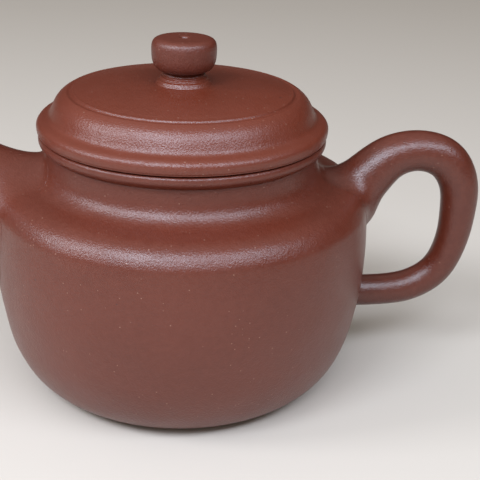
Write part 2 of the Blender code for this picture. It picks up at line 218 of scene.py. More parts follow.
# ---------------------------------------------------------------- outlines
def section(node):
    """The CAD node's cut at +X as a loop of (radius, height) points, or a line that ends on the axis."""
    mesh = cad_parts[node].data
    spot = [(round(v.co.x / MM, 2), round(v.co.z / MM, 2)) for v in mesh.vertices]
    flat = [abs(v.co.y) < CUT_TOLERANCE * MM and v.co.x > -CUT_TOLERANCE * MM for v in mesh.vertices]
    links = {}
    for edge in mesh.edges:
        a, b = edge.vertices
        if flat[a] and flat[b] and spot[a] != spot[b]:
            links.setdefault(spot[a], set()).add(spot[b])
            links.setdefault(spot[b], set()).add(spot[a])
    ends = [p for p in links if len(links[p]) == 1]
    walk = [min(ends) if ends else max(links)]
    while True:
        onward = [p for p in sorted(links[walk[-1]]) if p not in walk]
        if not onward:
            return walk
        walk.append(onward[0])


def nearest(points, target):
    return min(range(len(points)), key=lambda i: math.dist(points[i], target))


def side_of(node, top, bottom):
    """The outline's short way from the point nearest `top` to the one nearest `bottom`."""
    loop = section(node)
    i, j = nearest(loop, top), nearest(loop, bottom)
    ways = []
    for step in (1, -1):
        way = [loop[i]]
        k = i
        while k != j:
            k = (k + step) % len(loop)
            way.append(loop[k])
        ways.append(way)
    return min(ways, key=lambda way: sum(map(math.dist, way, way[1:])))


def faired(points, blur):
    """Smooth curve through the points: a cubic through them, then a Gaussian blur along its length."""
    pts = np.array(points, float)
    chord = np.r_[0.0, np.cumsum(np.linalg.norm(np.diff(pts, axis=0), axis=1))]
    slope = np.gradient(pts, chord, axis=0)
    along = np.linspace(0.0, chord[-1], max(8, int(chord[-1] / CURVE_STEP)))
    k = np.clip(np.searchsorted(chord, along, side="right") - 1, 0, len(pts) - 2)
    run = (chord[k + 1] - chord[k])[:, None]
    t = (along - chord[k])[:, None] / run
    curve = ((2 * t**3 - 3 * t**2 + 1) * pts[k] + (t**3 - 2 * t**2 + t) * run * slope[k]
             + (3 * t**2 - 2 * t**3) * pts[k + 1] + (t**3 - t**2) * run * slope[k + 1])
    step = along[1]
    width = min(int(3 * blur / step) + 1, len(curve) - 1)
    kernel = np.exp(-0.5 * (np.arange(-width, width + 1) * step / blur) ** 2)
    kernel /= kernel.sum()
    padded = np.vstack([2 * curve[0] - curve[width:0:-1], curve,
                        2 * curve[-1] - curve[-2:-width - 2:-1]])
    return np.column_stack([np.convolve(padded[:, i], kernel, "valid")
                            for i in range(curve.shape[1])])


def thinned(curve):
    """Drops outline points where it runs straight; hair strips at both ends hold the shading."""
    curve = np.asarray(curve, float)
    start = curve[0] + (curve[1] - curve[0]) / math.dist(curve[1], curve[0]) * HAIR
    end = curve[-1] + (curve[-2] - curve[-1]) / math.dist(curve[-2], curve[-1]) * HAIR
    kept = [curve[0], start]
    heading = math.atan2(*(curve[1] - curve[0]))
    for before, here, after in zip(curve, curve[1:], curve[2:]):
        now = math.atan2(*(after - before))
        turned = abs((now - heading + math.pi) % (2 * math.pi) - math.pi)
        if turned > TURN_LIMIT or math.dist(here, kept[-1]) > REACH_LIMIT:
            kept.append(here)
            heading = now
    if math.dist(kept[-1], end) < 0.5 * CURVE_STEP:
        kept.pop()
    return [tuple(p) for p in kept] + [tuple(end), tuple(curve[-1])]


def rounded(corners):
    """Polyline through (radius, height, fillet) corners with each corner rounded by an arc."""
    line = []
    last = len(corners) - 1
    for i, (r, z, fillet) in enumerate(corners):
        here = Vector((r, z))
        if i in (0, last) or fillet <= 0:
            line.append(tuple(here))
            continue
        back = (Vector(corners[i - 1][:2]) - here).normalized()
        on = (Vector(corners[i + 1][:2]) - here).normalized()
        half = math.acos(max(-1.0, min(1.0, back.dot(on)))) / 2
        reach = fillet / math.tan(half)
        centre = here + (back + on).normalized() * (fillet / math.sin(half))
        first = here + back * reach - centre
        angle = first.angle_signed(here + on * reach - centre)
        for k in range(ARC_STEPS + 1):
            turn = angle * k / ARC_STEPS
            spoke = Vector((first.x * math.cos(turn) + first.y * math.sin(turn),
                            first.y * math.cos(turn) - first.x * math.sin(turn)))
            line.append(tuple(centre + spoke))
    return line


def inset(curve, distance):
    """The outline moved into the clay."""
    curve = np.asarray(curve, float)
    tangent = np.gradient(curve, axis=0)
    tangent /= np.linalg.norm(tangent, axis=1)[:, None]
    return curve + np.column_stack([tangent[:, 1], -tangent[:, 0]]) * distance


# ---------------------------------------------------------------- meshes
def wobble(co):
    """Slow uneven swell of a hand-made surface, in millimetres, for points in millimetres."""
    x, y, z = (co * (2 * math.pi / WOBBLE_LENGTH)).T
    return WOBBLE * (-1.0 + 0.5 * np.sin(0.83 * x + 1.1 * np.sin(0.47 * y + 0.6) + 0.4)
                     * np.cos(0.71 * y - 0.9 * np.sin(0.39 * x) + 0.35 * z)
                     + 0.35 * np.sin(1.35 * z + 0.8 * np.sin(0.9 * x + 0.5 * y))
                     + 0.15 * np.sin(2.1 * x + 1.7 * y + 1.2 * z))


def mesh_object(name, verts, faces, materials):
    mesh = bpy.data.meshes.new(name)
    mesh.from_pydata([tuple(v) for v in verts], [], faces)
    bm = bmesh.new()
    bm.from_mesh(mesh)
    bmesh.ops.remove_doubles(bm, verts=bm.verts, dist=MERGE)
    bmesh.ops.recalc_face_normals(bm, faces=bm.faces)
    bm.to_mesh(mesh)
    bm.free()
    mesh.shade_smooth()
    mesh.set_sharp_from_angle(angle=SHARP)
    for material in materials:
        mesh.materials.append(material)
    obj = bpy.data.objects.new(name, mesh)
    bpy.context.scene.collection.objects.link(obj)
    return obj


def turned(name, stretches, materials, sides=BIG_SIDES, uneven=1.0):
    """Closed solid turned about +Z from stretches of outline, each (points, material index).

    A stretch ends where the next begins.  The line is a loop, or both of its ends lie on the axis.
    """
    line, marks = [], []
    for points, mark in stretches:
        for p in points[:-1]:
            line.append(p)
            marks.append(mark)
    if math.dist(stretches[-1][0][-1], line[0]) > SAME:
        line.append(stretches[-1][0][-1])
        marks.append(None)
    line = np.array(line)
    angles = 2 * math.pi * np.arange(sides) / sides
    rings = np.stack([line[:, None, 0] * np.cos(angles), line[:, None, 0] * np.sin(angles),
                      np.repeat(line[:, None, 1], sides, axis=1)], axis=2)
    flat = rings.reshape(-1, 3)
    start, rise = WOBBLE_START
    swell = wobble(flat) * uneven * np.clip((flat[:, 2] - start) / rise, 0.0, 1.0)
    spin = np.hypot(flat[:, 0], flat[:, 1])
    swell *= np.clip(spin / WOBBLE_HUB, 0.0, 1.0)
    out = np.where(spin > SAME, (spin + swell) / np.maximum(spin, SAME), 1.0)
    flat = np.column_stack([flat[:, 0] * out, flat[:, 1] * out, flat[:, 2]])
    faces, face_marks = [], []
    count = len(line)
    for i, mark in enumerate(marks):
        if mark is None:
            continue
        j = (i + 1) % count
        for k in range(sides):
            n = (k + 1) % sides
            corners = (i * sides + k, i * sides + n, j * sides + n, j * sides + k)
            if line[i][0] < SAME:
                corners = (i * sides, j * sides + n, j * sides + k)
            elif line[j][0] < SAME:
                corners = (i * sides + k, i * sides + n, j * sides)
            faces.append(corners)
            face_marks.append(mark)
    used = sorted({v for face in faces for v in face})
    renumber = {v: i for i, v in enumerate(used)}
    faces = [tuple(renumber[v] for v in face) for face in faces]
    obj = mesh_object(name, flat[used] * MM, faces, materials)
    obj.data.polygons.foreach_set("material_index", face_marks)
    return obj


def cut(obj, cutter):
    """Cuts the hole and leaves the plain result on the object."""
    boolean = obj.modifiers.new("cut", "BOOLEAN")
    boolean.operation = "DIFFERENCE"
    boolean.solver = "EXACT"
    boolean.object = cutter
    graph = bpy.context.evaluated_depsgraph_get()
    mesh = bpy.data.meshes.new_from_object(obj.evaluated_get(graph))
    obj.modifiers.clear()
    obj.data = mesh
    mesh.shade_smooth()
    mesh.set_sharp_from_angle(angle=SHARP)
    bpy.data.objects.remove(cutter, do_unlink=True)


def cones(name, places, radius, depth, segments):
    """Cutter made of round pins, one at each matrix."""
    bm = bmesh.new()
    for place in places:
        bmesh.ops.create_cone(bm, cap_ends=True, segments=segments, radius1=radius * MM,
                              radius2=radius * MM, depth=depth * MM, matrix=place)
    mesh = bpy.data.meshes.new(name)
    bm.to_mesh(mesh)
    bm.free()
    obj = bpy.data.objects.new(name, mesh)
    bpy.context.scene.collection.objects.link(obj)
    return obj


# ---------------------------------------------------------------- swept bars
def rings_along(line):
    """Centres, radii and in-plane directions along an (x, z, radius) line."""
    curve = faired(line, BAR_BLUR)
    centres, radii = curve[:, :2], curve[:, 2]
    tangent = np.gradient(centres, axis=0)
    tangent /= np.linalg.norm(tangent, axis=1)[:, None]
    return centres, radii, tangent


def ring(centre, radius, tangent):
    """Circle of points square to the tangent; angle 0 is on the left of the way along the line."""
    a = 2 * math.pi * np.arange(BAR_SIDES) / BAR_SIDES
    left = np.array([-tangent[1], 0.0, tangent[0]])
    return (np.array([centre[0], 0.0, centre[1]])
            + radius * (np.cos(a)[:, None] * left + np.sin(a)[:, None] * np.array([0.0, 1.0, 0.0])))


class Body:
    """The pot's outer surface, as a curve turned about +Z, for landing the roots on."""

    def __init__(self, curve):
        self.curve = np.asarray(curve)
        slope = np.gradient(self.curve, axis=0)
        slope /= np.linalg.norm(slope, axis=1)[:, None]
        self.normal = np.column_stack([-slope[:, 1], slope[:, 0]])

    def land(self, points):
        """Nearest surface points, outward normals and heights above the surface."""
        points = np.atleast_2d(points)
        spin = np.hypot(points[:, 0], points[:, 1])
        flat = np.column_stack([spin, points[:, 2]])
        gap = np.linalg.norm(flat[:, None] - self.curve[None], axis=2)
        k = gap.argmin(axis=1)
        foot, normal = self.curve[k], self.normal[k]
        around = points[:, :2] / np.maximum(spin, TINY)[:, None]
        landed = np.column_stack([around * foot[:, :1], foot[:, 1]])
        normals = np.column_stack([around * normal[:, :1], normal[:, 1]])
        height = ((flat - foot) * normal).sum(axis=1)
        return landed, normals, height


def by_angle(left, side, right):
    """A value for each strand, from those at the bar's left side, its flanks and its right side."""
    a = np.cos(2 * math.pi * np.arange(BAR_SIDES) / BAR_SIDES)
    return np.where(a > 0, side + (left - side) * a**2, side + (right - side) * a**2)


def root(body, start_ring, ring_before, flare, soft, pull):
    """Rings from the bar's last free ring down to the body, and the middle of the joint.

    Each strand goes on the way it came, lands on the body and spreads by `flare`.  Where `soft`
    is 1 it runs out level with the body, and where it is 0 it turns in and leaves a crisp edge.
    Both are given as (left, flanks, right).
    A smaller `pull` cuts the corner between the bar and the body with a fuller fillet.
    """
    flare, soft = by_angle(*flare)[:, None], by_angle(*soft)[:, None]
    way = start_ring - ring_before
    way /= np.linalg.norm(way, axis=1)[:, None]
    reach = np.linspace(0.0, ROOT_SEARCH, SEARCH_STEPS)
    landing = []
    for p, direction in zip(start_ring, way):
        probe = p + reach[:, None] * direction
        height = body.land(probe)[2]
        inside = np.nonzero(height < 0)[0]
        landing.append(probe[inside[0] if len(inside) else height.argmin()])
    hit, normals, _ = body.land(np.array(landing))
    probe = start_ring.mean(axis=0) + reach[:, None] * way.mean(axis=0)
    middle = probe[np.abs(body.land(probe)[2]).argmin()]
    away = hit - middle
    away -= (away * normals).sum(axis=1)[:, None] * normals
    away /= np.linalg.norm(away, axis=1)[:, None]
    goal, normals, _ = body.land(hit + away * flare)
    away -= (away * normals).sum(axis=1)[:, None] * normals
    away /= np.linalg.norm(away, axis=1)[:, None]
    arrive = away * soft + (CREASE[0] * away - CREASE[1] * normals) * (1.0 - soft)
    arrive /= np.linalg.norm(arrive, axis=1)[:, None]
    goal = goal - normals * ROOT_DIP * soft
    span = np.linalg.norm(goal - start_ring, axis=1)[:, None]
    m0, m1 = way * span * pull, arrive * span * pull
    rings = []
    for t in np.linspace(0.0, 1.0, ROOT_RINGS)[1:]:
        rings.append((2 * t**3 - 3 * t**2 + 1) * start_ring + (t**3 - 2 * t**2 + t) * m0
                     + (3 * t**2 - 2 * t**3) * goal + (t**3 - t**2) * m1)
    rings.append(goal + arrive * ROOT_TUCK - normals * ROOT_SINK)
    return rings, middle


def grid_faces(count, sides):
    """Faces between rings that follow one another, as one closed skin without its ends."""
    return [(i * sides + k, i * sides + (k + 1) % sides,
             (i + 1) * sides + (k + 1) % sides, (i + 1) * sides + k)
            for i in range(count - 1) for k in range(sides)]


# ---------------------------------------------------------------- materials
def node(tree, kind, place, **values):
    made = tree.nodes.new(kind)
    made.location = place
    for key, value in values.items():
        if key in made.inputs:
            made.inputs[key].default_value = value
        else:
            setattr(made, key, value)
    return made


def ramp(tree, place, stops, source):
    made = tree.nodes.new("ShaderNodeValToRGB")
    made.location = place
    points = made.color_ramp.elements
    while len(points) < len(stops):
        points.new(0.5)
    for point, (at, shade) in zip(points, stops):
        point.position = at
        point.color = (*shade, 1.0) if isinstance(shade, tuple) else (shade, shade, shade, 1.0)
    tree.links.new(source, made.inputs["Fac"])
    return made.outputs["Color"]


def mixed(tree, place, factor, a, b):
    """Colour a where the factor is 0 and b where it is 1; a and b are sockets or plain colours."""
    made = node(tree, "ShaderNodeMix", place, data_type="RGBA")
    factor_in, a_in, b_in, colour_out = 0, 6, 7, 2
    tree.links.new(factor, made.inputs[factor_in])
    for socket, value in ((a_in, a), (b_in, b)):
        if hasattr(value, "is_linked"):
            tree.links.new(value, made.inputs[socket])
        else:
            made.inputs[socket].default_value = (*value, 1.0)
    return made.outputs[colour_out]


def clay(name, shades, grain=1.0, seed=0.0):
    """Fired zisha clay: sieved grains of several sizes in a dense red body, rubbed to a soft gloss."""
    red, deep, pale, roughness = shades
    material = bpy.data.materials.new(name)
    material.use_nodes = True
    tree = material.node_tree
    bsdf = tree.nodes["Principled BSDF"]
    bsdf.location = (900, 0)
    bsdf.inputs["Metallic"].default_value = 0.0
    bsdf.inputs["IOR"].default_value = CLAY_IOR
    bsdf.inputs["Specular IOR Level"].default_value = CLAY_SPECULAR
    coords = node(tree, "ShaderNodeTexCoord", (-1500, 0))
    place = node(tree, "ShaderNodeMapping", (-1300, 0))
    place.inputs["Location"].default_value = (seed, seed * 0.7, seed * 0.4)
    tree.links.new(coords.outputs["Object"], place.inputs["Vector"])

    def noise(at, scale, detail=2.0, rough=0.5):
        made = node(tree, "ShaderNodeTexNoise", at, Scale=scale, Detail=detail, Roughness=rough)
        tree.links.new(place.outputs["Vector"], made.inputs["Vector"])
        return made.outputs["Fac"]

    def grains(at, scale, share, size):
        """Scattered grains: 1 in the middle of the chosen cells, 0 outside."""
        cells = node(tree, "ShaderNodeTexVoronoi", at, Scale=scale, Randomness=1.0)
        tree.links.new(place.outputs["Vector"], cells.inputs["Vector"])
        near = ramp(tree, (at[0] + 200, at[1]), [(size * 0.55, 1.0), (size, 0.0)],
                    cells.outputs["Distance"])
        split = node(tree, "ShaderNodeSeparateColor", (at[0] + 200, at[1] - 220))
        tree.links.new(cells.outputs["Color"], split.inputs["Color"])
        chosen = node(tree, "ShaderNodeMath", (at[0] + 400, at[1] - 220), operation="LESS_THAN")
        tree.links.new(split.outputs["Red"], chosen.inputs[0])
        chosen.inputs[1].default_value = share * grain
        both = node(tree, "ShaderNodeMath", (at[0] + 600, at[1]), operation="MULTIPLY")
        tree.links.new(near, both.inputs[0])
        tree.links.new(chosen.outputs[0], both.inputs[1])
        return both.outputs[0]

    clouds = ramp(tree, (-600, 500), [(0.32, 0.0), (0.68, 1.0)],
                  noise((-900, 500), CLOUD_SCALE, 3.0))
    base = mixed(tree, (-200, 500), clouds, deep, red)
    mottle = ramp(tree, (-600, 300), [(0.38, 0.0), (0.66, 0.28)],
                  noise((-900, 300), SPECKLE_SCALE, 3.0, 0.65))
    base = mixed(tree, (0, 500), mottle, base, pale)
    gold = grains((-900, -100), *GOLD_CELLS)
    base = mixed(tree, (200, 500), gold, base, GOLD_GRAIN)
    dark = grains((-900, -600), *DARK_CELLS)
    base = mixed(tree, (400, 500), dark, base, DARK_GRAIN)
    tree.links.new(base, bsdf.inputs["Base Color"])

    rubbed = noise((-900, 900), RUB_SCALE, 4.0, 0.6)
    polish = node(tree, "ShaderNodeMapRange", (-600, 900))
    polish.inputs["From Min"].default_value = 0.3
    polish.inputs["From Max"].default_value = 0.7
    polish.inputs["To Min"].default_value = roughness + RUB_SPREAD[0]
    polish.inputs["To Max"].default_value = roughness + RUB_SPREAD[1]
    tree.links.new(rubbed, polish.inputs["Value"])
    tree.links.new(polish.outputs["Result"], bsdf.inputs["Roughness"])

    sand = noise((-900, -1000), SAND_SCALE, 2.0, 0.6)
    lumps = noise((-900, -1200), LUMP_SCALE, 2.0, 0.5)
    bump = node(tree, "ShaderNodeBump", (300, -900), Strength=1.0,
                Distance=SAND_HEIGHT * MM * grain)
    tree.links.new(sand, bump.inputs["Height"])
    swell = node(tree, "ShaderNodeBump", (500, -900), Strength=1.0,
                 Distance=LUMP_HEIGHT * MM * grain)
    tree.links.new(lumps, swell.inputs["Height"])
    tree.links.new(bump.outputs["Normal"], swell.inputs["Normal"])
    pits = node(tree, "ShaderNodeBump", (700, -900), Strength=1.0, Distance=-PIT_DEPTH * MM)
    tree.links.new(dark, pits.inputs["Height"])
    tree.links.new(swell.outputs["Normal"], pits.inputs["Normal"])
    tree.links.new(pits.outputs["Normal"], bsdf.inputs["Normal"])
    return material


def plain(name, colour, rough):
    material = bpy.data.materials.new(name)
    material.use_nodes = True
    bsdf = material.node_tree.nodes["Principled BSDF"]
    bsdf.inputs["Base Color"].default_value = (*colour, 1.0)
    bsdf.inputs["Roughness"].default_value = rough
    return material


# ---------------------------------------------------------------- camera, light and floor
def build_camera():
    yaw, pitch, roll = (math.radians(a) for a in (CAMERA_YAW, CAMERA_PITCH, CAMERA_ROLL))
    look = Vector((math.sin(yaw) * math.cos(pitch), math.cos(yaw) * math.cos(pitch),
                   -math.sin(pitch)))
    right = Vector((math.cos(yaw), -math.sin(yaw), 0.0))
    up = right.cross(look)
    right, up = (math.cos(roll) * right + math.sin(roll) * up,
                 math.cos(roll) * up - math.sin(roll) * right)
    data = bpy.data.cameras.new("camera")
    data.lens = CAMERA_LENS
    data.sensor_width = CAMERA_SENSOR
    data.clip_start = 0.01
    camera = bpy.data.objects.new("camera", data)
    bpy.context.scene.collection.objects.link(camera)
    turn = Matrix((right, up, -look)).transposed().to_4x4()
    camera.matrix_world = Matrix.Translation(Vector(CAMERA_PLACE) * MM) @ turn
    bpy.context.scene.camera = camera


def soft_light(name, azimuth, elevation, distance, width, height, power, colour):
    """Soft box aimed at the pot."""
    data = bpy.data.lights.new(name, "AREA")
    data.shape = "RECTANGLE"
    data.size, data.size_y = width, height
    data.energy = power
    data.color = colour
    light = bpy.data.objects.new(name, data)
    a, e = math.radians(azimuth), math.radians(elevation)
    way = Vector((math.sin(a) * math.cos(e), -math.cos(a) * math.cos(e), math.sin(e)))
    light.location = Vector((0.0, 0.0, LIGHT_AIM)) + way * distance
    light.rotation_euler = way.to_track_quat("Z", "Y").to_euler()
    bpy.context.scene.collection.objects.link(light)


def build_world():
    """Pale room: bright in front of the pot and overhead, dark behind it."""
    world = bpy.data.worlds.new("studio")
    bpy.context.scene.world = world
    world.use_nodes = True
    tree = world.node_tree
    background = tree.nodes["Background"]
    background.inputs["Color"].default_value = (*ROOM_COLOUR, 1.0)
    coords = node(tree, "ShaderNodeTexCoord", (-800, 0))
    facing = node(tree, "ShaderNodeVectorMath", (-600, 0), operation="DOT_PRODUCT")
    tree.links.new(coords.outputs["Generated"], facing.inputs[0])
    facing.inputs[1].default_value = ROOM_BRIGHT_WAY
    level = node(tree, "ShaderNodeMapRange", (-400, 0))
    level.inputs["From Min"].default_value, level.inputs["From Max"].default_value = ROOM_FADE
    level.inputs["To Min"].default_value = ROOM_DIM
    level.inputs["To Max"].default_value = ROOM_BRIGHT
    tree.links.new(facing.outputs["Value"], level.inputs["Value"])
    tree.links.new(level.outputs["Result"], background.inputs["Strength"])


def build_studio():
    bpy.context.scene.view_settings.view_transform = "Standard"
    build_world()
    for light in LIGHTS:
        soft_light(*light)
    bm = bmesh.new()
    bmesh.ops.create_circle(bm, cap_ends=True, segments=96, radius=FLOOR_REACH)
    mesh = bpy.data.meshes.new("floor")
    bm.to_mesh(mesh)
    bm.free()
    floor = bpy.data.objects.new("floor", mesh)
    bpy.context.scene.collection.objects.link(floor)
    mesh.materials.append(plain("floor", FLOOR_COLOUR, FLOOR_ROUGH))


# ---------------------------------------------------------------- the outlines in full
def body_outline():
    """Outer curve of the pot from under the mouth ring to the foot, and where its seams fall."""
    neck = side_of("neck_collar", NECK_SEAM, SHOULDER_SEAM)
    shoulder = side_of("shoulder_disc", SHOULDER_SEAM, WALL_SEAM)
    wall = side_of("body_wall", WALL_SEAM, BASE_SEAM)
    edge = side_of("base_disc", BASE_SEAM, FOOT_EDGE)
    seams = []
    points = [(neck[0][0], (neck[0][1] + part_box("mouth_ring")[0].z / MM) / 2)] + neck[1:-1]
    for above, below in ((neck, shoulder), (shoulder, wall), (wall, edge)):
        seam = ((above[-1][0] + below[0][0]) / 2, (above[-1][1] + below[0][1]) / 2)
        seams.append(seam)
        points += [seam] + below[1:-1]
    points.append(edge[-1])
    curve = faired(points, BODY_BLUR)
    curve[0], curve[-1] = points[0], points[-1]
    marks = [int(np.linalg.norm(curve - seam, axis=1).argmin()) for seam in seams]
    return curve, marks


def keep(obj, nodes, body):
    """Tells the frame what the piece rides and replaces."""
    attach(obj, body)
    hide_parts(*nodes)


# ---------------------------------------------------------------- turned pieces of the pot
def build_base():
    """Slab that closes the bottom, with a shallow recess inside its foot ring."""
    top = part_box("base_disc")[1].z / MM
    edge = thinned(pot_outline[at_wall:])
    under = [p for p in section("base_disc") if p[0] < FOOT_SEARCH[0] and p[1] < FOOT_SEARCH[1]]
    foot_inner = max(r for r, z in under if z < FOOT_FLAT)
    recess = max(z for r, z in under)
    foot = rounded([(edge[-1][0], 0.0, 0), (foot_inner, 0.0, FOOT_FILLET),
                    (foot_inner - RECESS_SLOPE, recess, RECESS_FILLET), (0.0, recess, 0)])
    up = [(0.0, top), (base_seam[0], top), tuple(base_seam)]
    obj = turned("base_disc_clay", [(up[:2], 1), (up[1:], 1), (edge, 0), (foot, 0)], POT)
    keep(obj, ["base_disc"], "pot")


def build_wall():
    """Beaten wall, with the outlet cut through it behind the spout."""
    outer = thinned(pot_outline[at_shoulder:at_wall + 1])
    inner = inset(pot_outline[at_shoulder:at_wall + 1], WALL)
    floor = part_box("base_disc")[1].z / MM
    inner = [tuple(p) for p in inner if p[1] > floor + FLOOR_CLEAR]
    inner = thinned(np.array([(inner[0][0], wall_seam[1])] + inner[1:]))
    foot = (base_seam[0], floor)
    obj = turned("body_wall_clay", [(outer, 0), ([tuple(base_seam), foot], 1),
                                    ([foot] + inner[::-1], 1),
                                    ([inner[0], outer[0]], 1)], POT)
    x, z = OUTLET_CENTRE
    aim = Matrix.Rotation(math.radians(-90 + OUTLET_RISE), 4, "Y")
    place = Matrix.Translation((x * MM, 0, z * MM)) @ aim
    cut(obj, cones("outlet", [place], OUTLET_RADIUS, OUTLET_LENGTH, OUTLET_SIDES))
    keep(obj, ["body_wall"], "pot")


def build_shoulder():
    """Slab shoulder from the wall to the neck, open in the middle for the mouth."""
    outer = thinned(pot_outline[at_neck:at_shoulder + 1])
    inner = [tuple(p) for p in inset(pot_outline[at_neck:at_shoulder + 1], WALL)
             if p[0] > mouth_radius and p[1] > wall_seam[1] + SEAM_CLEAR]
    inner = thinned(np.array(inner + [(inner[-1][0], wall_seam[1])]))
    low = inner[0][1]
    obj = turned("shoulder_disc_clay",
                 [(outer, 0), ([outer[-1], inner[-1]], 1), (inner[::-1], 1),
                  ([inner[0], (mouth_radius, low)], 1),
                  ([(mouth_radius, low), (mouth_radius, neck_seam[1])], 1),
                  ([(mouth_radius, neck_seam[1]), outer[0]], 1)], POT)
    keep(obj, ["shoulder_disc"], "pot")


def build_neck():
    """Short collar between the shoulder and the mouth ring."""
    outer = thinned(pot_outline[:at_neck + 1])
    obj = turned("neck_collar_clay",
                 [(outer, 0), ([outer[-1], (mouth_radius, neck_seam[1])], 1),
                  ([(mouth_radius, neck_seam[1]), (mouth_radius, ring_seam[1])], 1),
                  ([(mouth_radius, ring_seam[1]), outer[0]], 1)], POT)
    keep(obj, ["neck_collar"], "pot")


def build_mouth_ring():
    """Rounded bead round the mouth, under the lid's rim."""
    bead = side_of("mouth_ring", MOUTH_EDGE, NECK_SEAM)
    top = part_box("mouth_ring")[1].z / MM
    start = (bead[0][0] - BEAD_START, top)
    corner = (bead[0][0] + BEAD_SWELL, top - BEAD_DROP)
    side = [tuple(p) for p in faired([start, corner] + bead[1:-1] + [tuple(ring_seam)], FINE_BLUR)]
    side[0], side[-1] = start, tuple(ring_seam)
    inside = rounded([(*start, 0), (mouth_radius, top, MOUTH_FILLET), (mouth_radius, ring_seam[1], 0)])
    obj = turned("mouth_ring_clay", [(thinned(side), 0), ([tuple(ring_seam), inside[-1]], 1),
                                     (inside[::-1], 0)], POT)
    keep(obj, ["mouth_ring"], "pot")


# ---------------------------------------------------------------- handle, spout and strainer
def build_handle(body):
    """Swept roll of clay: its upper root runs out softly above and turns in crisply below."""
    centres, radii, tangent = rings_along(HANDLE_LINE)
    solid = np.column_stack([centres[:, 0], 0 * centres[:, 0], centres[:, 1]])
    outside = np.nonzero(body.land(solid)[2] > 0)[0]
    first = outside[0] + int(UPPER_ROOT / CURVE_STEP)
    last = outside[-1] - int(LOWER_ROOT / CURVE_STEP)
    picks = np.linspace(first, last, HANDLE_RINGS).astype(int)
    rows = [ring(centres[i], radii[i], tangent[i]) for i in picks]
    upper, upper_hub = root(body, rows[0], rows[1], UPPER_FLARE, UPPER_SOFT, HANDLE_PULL)
    lower, lower_hub = root(body, rows[-1], rows[-2], LOWER_FLARE, LOWER_SOFT, HANDLE_PULL)
    rows = upper[::-1] + rows + lower
    inward = np.array([-HUB_DEPTH, 0.0, 0.0])
    verts = np.vstack(rows + [upper_hub + inward, lower_hub + inward])
    faces = grid_faces(len(rows), BAR_SIDES)
    n = len(rows) * BAR_SIDES
    for k in range(BAR_SIDES):
        j = (k + 1) % BAR_SIDES
        faces.append((n, j, k))
        faces.append((n + 1, n - BAR_SIDES + k, n - BAR_SIDES + j))
    obj = mesh_object("handle_shaded_clay", verts * MM, faces, [handle_shaded_clay])
    keep(obj, ["handle"], "pot")


def build_spout(body):
    """Hollow tube from a wide soft root to a rounded lip, with its bore running back inside."""
    lean = math.radians(LIP_TILT)
    level = np.array([-math.sin(lean), math.cos(lean)])
    lip_normal = np.array([level[0], 0.0, level[1]])
    lip_point = np.array([LIP_CENTRE[0], 0.0, LIP_CENTRE[1]])

    def tube_rows(line, count, clear):
        """Rings that start `clear` of the body and turn level with the lip as they near it."""
        centres, radii, tangent = rings_along(line)
        solid = np.column_stack([centres[:, 0], 0 * centres[:, 0], centres[:, 1]])
        first = np.nonzero(body.land(solid)[2] > clear)[0][0]
        below = ((lip_point - solid) * lip_normal).sum(axis=1)
        last = np.nonzero(below > LIP_ROUND)[0][-1]
        near = np.clip(1.0 - (below - LIP_ROUND) / LIP_BLEND, 0.0, 1.0)[:, None]
        near = near ** 2 * (3 - 2 * near)
        facing = tangent * (1.0 - near) + level * near
        facing /= np.linalg.norm(facing, axis=1)[:, None]
        picks = np.linspace(first, last, count).astype(int)
        return [ring(centres[i], radii[i], facing[i]) for i in picks]

    rows = tube_rows(SPOUT_LINE, SPOUT_RINGS, SPOUT_ROOT)
    bore = tube_rows(BORE_LINE, BORE_RINGS, BORE_START)
    base, _ = root(body, rows[0], rows[1], SPOUT_FLARE, SPOUT_SOFT, SPOUT_PULL)
    lip = []
    for a in np.linspace(0.0, math.pi, LIP_RINGS + 2)[1:-1]:
        share = (1.0 - math.cos(a)) / 2
        lip.append(rows[-1] * (1.0 - share) + bore[-1] * share
                   + lip_normal * LIP_ROUND * math.sin(a))
    rows = base[::-1] + rows + lip + bore[::-1]
    verts = np.vstack(rows)
    faces = grid_faces(len(rows), BAR_SIDES)
    n = (len(rows) - 1) * BAR_SIDES
    for k in range(BAR_SIDES):
        j = (k + 1) % BAR_SIDES
        faces.append((n + k, n + j, j, k))
    obj = mesh_object("spout_clay", verts * MM, faces, POT)
    keep(obj, ["spout"], "pot")


def build_strainer():
    """Pierced half ball, turned about its own axis and pushed onto the inside of the wall."""
    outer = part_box("strainer")[1].x / MM - STRAINER_CENTRE[0]
    inner = outer - STRAINER_THICK
    arc = np.radians(np.linspace(0, 90, 28))
    dome = [(outer * math.sin(a), outer * math.cos(a)) for a in arc] + [(outer, STRAINER_BACK)]
    hollow = [(inner * math.sin(a), inner * math.cos(a)) for a in arc] + [(inner, STRAINER_BACK)]
    obj = turned("strainer_clay", [(dome, 0), ([dome[-1], hollow[-1]], 0), (hollow[::-1], 0)],
                 [raw_clay], STRAINER_SIDES, 0.0)
    x, z = STRAINER_CENTRE
    aim = Matrix.Translation((x * MM, 0.0, z * MM)) @ Matrix.Rotation(math.radians(90), 4, "Y")
    obj.data.transform(aim)
    places = []
    for polar, count in STRAINER_ROWS:
        for k in range(count):
            around = Matrix.Rotation(2 * math.pi * k / count, 4, "Z")
            tip = Matrix.Rotation(math.radians(polar), 4, "Y")
            places.append(aim @ around @ tip @ Matrix.Translation((0, 0, outer * MM)))
    cut(obj, cones("awl", places, STRAINER_HOLE, AWL_LENGTH, AWL_SIDES))
    keep(obj, ["strainer"], "pot")


